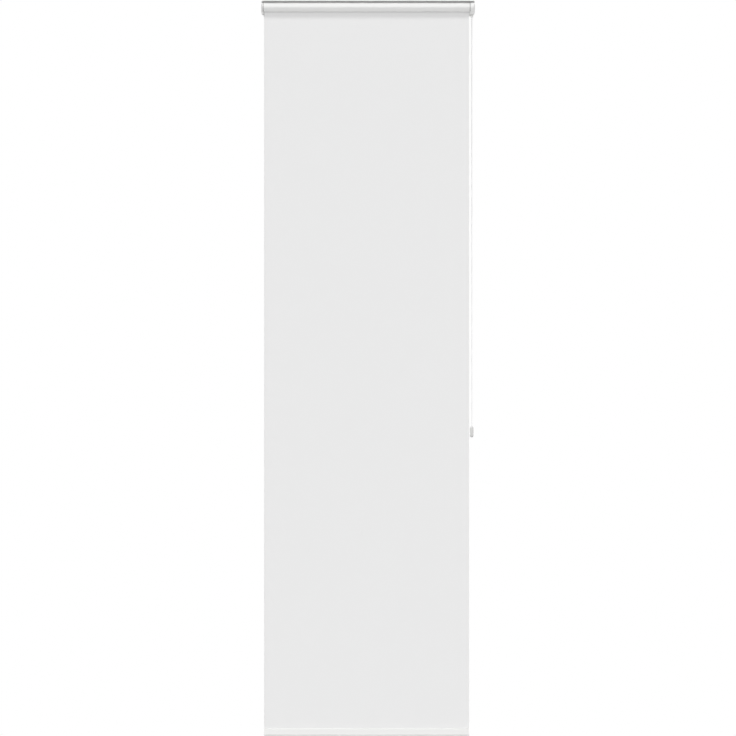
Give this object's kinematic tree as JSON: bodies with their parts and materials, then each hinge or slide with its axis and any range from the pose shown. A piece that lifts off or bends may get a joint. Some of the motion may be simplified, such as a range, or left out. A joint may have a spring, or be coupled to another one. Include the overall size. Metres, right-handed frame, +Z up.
{
  "type": "shower roller blind",
  "caption": "Shower roller blind with an extruded half cassette, chain-driven roller, plain coated cloth and a bottom bar, hung from ceiling clips; the roller winds the cloth up and lifts the bar.",
  "frame": {"origin": "on the ceiling, midway between the holes of the two mounting clips", "axes": "+Z up to the ceiling, +X along the roller to the chain side, -Y to the room"},
  "size_m": [0.7, 0.061, 2.413],
  "materials": {
    "coated_profile": "white powder coat, satin",
    "white_moulding": "moulded, semi-gloss white",
    "bearing_moulding": "moulded, matt off-white",
    "spring_steel": "zinc plated",
    "bare_aluminium": "mill finish, extruded",
    "coated_cloth": "smooth water-repellent coat",
    "chain_moulding": "moulded white beads",
    "weight_moulding": "moulded, satin light grey"
  },
  "bodies": {
    "cassette": {"cassette_profile": "coated_profile", "left_end_cap": "white_moulding", "right_end_cap": "white_moulding", "mounting_clips": "spring_steel", "end_cap_screws": "spring_steel", "idle_bush": "bearing_moulding", "clutch_core": "bearing_moulding", "wrap_springs": "spring_steel", "core_retainer": "spring_steel", "fabric_panel": "coated_cloth", "chain_front_strand": "chain_moulding", "chain_rear_strand": "chain_moulding", "chain_over_wheel": "chain_moulding", "chain_bottom_loop": "chain_moulding", "chain_weight_left": "weight_moulding", "chain_weight_right": "weight_moulding"},
    "roller": {"roller_tube": "bare_aluminium", "fabric_roll": "coated_cloth", "tube_spline": "bearing_moulding", "drive_hub": "bearing_moulding", "chain_wheel": "bearing_moulding", "idle_plug": "bearing_moulding"},
    "bottom_bar": {"bar_profile": "coated_profile", "bar_spline": "bearing_moulding", "bar_cap_left": "white_moulding", "bar_cap_right": "white_moulding"}
  },
  "joints": [
    {"name": "roller_turn", "type": "hinge", "parent": "cassette", "child": "roller", "pos_m": [0, -0.0095, -0.038], "axis": [-1, 0, 0], "range_deg": [0, 7110], "deforming": ["chain_over_wheel"]},
    {"name": "bar_lift", "type": "slide", "parent": "cassette", "child": "bottom_bar", "axis": [0, 0, 1], "range_m": [0, 2.3], "deforming": ["fabric_panel"]}
  ],
  "couplings": [
    {"joint": "roller_turn", "follows": "bar_lift", "rad_per_m": 53.953}
  ]
}
